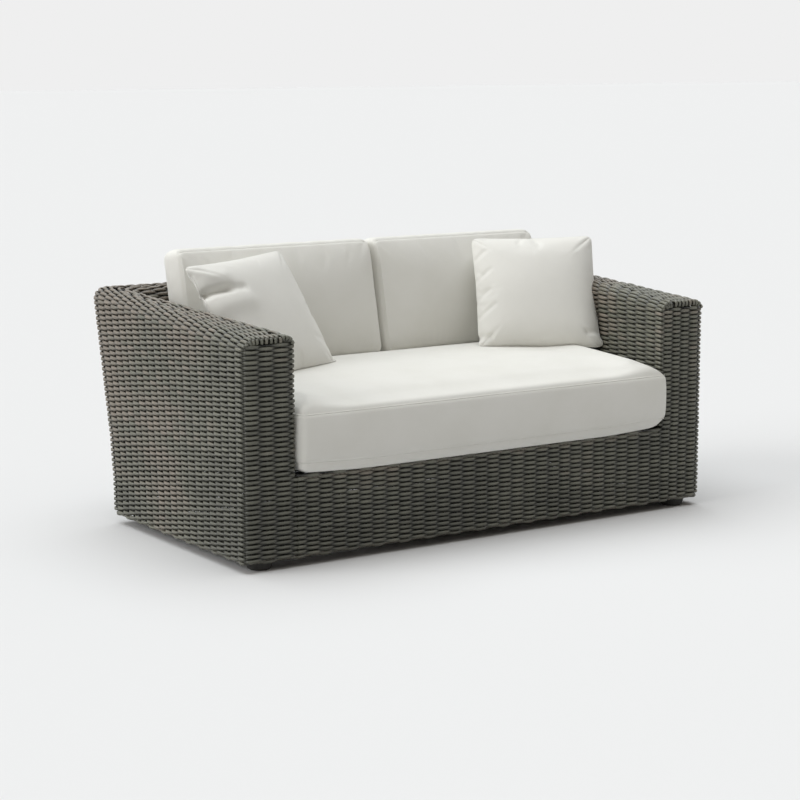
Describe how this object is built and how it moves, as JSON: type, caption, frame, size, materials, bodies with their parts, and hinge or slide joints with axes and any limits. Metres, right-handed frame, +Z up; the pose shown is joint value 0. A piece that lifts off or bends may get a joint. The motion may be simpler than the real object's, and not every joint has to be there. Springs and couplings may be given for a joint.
{
  "type": "woven garden sofa",
  "caption": "Low woven-resin garden sofa with tapered arms, a leaning back, a bench seat cushion, boxed back cushions and leaning throw pillows.",
  "frame": {"origin": "on the floor, under the centre of the whole sofa's box in plan", "axes": "+X along the seat towards the end that is on the right for someone facing the sofa, +Y from the front towards the back, +Z up"},
  "size_m": [1.68, 0.9466, 0.8412],
  "materials": {
    "weave": "grey-brown woven round resin strand",
    "frame": "dark taupe powder coat, satin",
    "foot": "moulded dark plastic, matte",
    "bolt": "zinc-plated, dull",
    "canvas": "off-white outdoor canvas, matte",
    "linen": "off-white soft plain weave, matte"
  },
  "bodies": {
    "frame": {"back_centre_post": "frame", "back_left_post": "frame", "back_right_post": "frame", "back_top_rail": "frame", "back_weave": "weave", "base_front_rail": "frame", "base_left_rail": "frame", "base_rear_rail": "frame", "base_right_rail": "frame", "foot_bolt_front_left": "bolt", "foot_bolt_front_right": "bolt", "foot_bolt_rear_left": "bolt", "foot_bolt_rear_right": "bolt", "foot_front_left": "foot", "foot_front_right": "foot", "foot_rear_left": "foot", "foot_rear_right": "foot", "front_apron_weave": "weave", "left_arm_inner_tube": "frame", "left_arm_outer_tube": "frame", "left_arm_weave": "weave", "left_front_arm_bridge": "frame", "left_front_post": "frame", "left_rear_arm_bridge": "frame", "left_rear_post": "frame", "right_arm_inner_tube": "frame", "right_arm_outer_tube": "frame", "right_arm_weave": "weave", "right_front_arm_bridge": "frame", "right_front_post": "frame", "right_rear_arm_bridge": "frame", "right_rear_post": "frame", "seat_bar_1": "frame", "seat_bar_2": "frame", "seat_bar_3": "frame", "seat_bar_4": "frame", "seat_bar_5": "frame", "seat_bar_6": "frame", "seat_bar_7": "frame", "seat_front_rail": "frame", "seat_left_rail": "frame", "seat_rear_rail": "frame", "seat_right_rail": "frame"},
    "seat_cushion": {"seat_cushion": "canvas"},
    "back_cushion_left": {"back_cushion_left": "canvas"},
    "back_cushion_right": {"back_cushion_right": "canvas"},
    "throw_pillow_left": {"throw_pillow_left": "linen"},
    "throw_pillow_right": {"throw_pillow_right": "linen"}
  },
  "joints": [
    {"name": "seat_cushion_lift", "type": "slide", "parent": "frame", "child": "seat_cushion", "axis": [0, 0, 1], "range_m": [0, 0.5]},
    {"name": "back_cushion_left_lift", "type": "slide", "parent": "seat_cushion", "child": "back_cushion_left", "axis": [0, 0, 1], "range_m": [0, 0.3]},
    {"name": "back_cushion_right_lift", "type": "slide", "parent": "seat_cushion", "child": "back_cushion_right", "axis": [0, 0, 1], "range_m": [0, 0.3]},
    {"name": "throw_pillow_left_lift", "type": "slide", "parent": "back_cushion_left", "child": "throw_pillow_left", "axis": [0, 0, 1], "range_m": [0, 0.3]},
    {"name": "throw_pillow_right_lift", "type": "slide", "parent": "back_cushion_right", "child": "throw_pillow_right", "axis": [0, 0, 1], "range_m": [0, 0.3]}
  ]
}
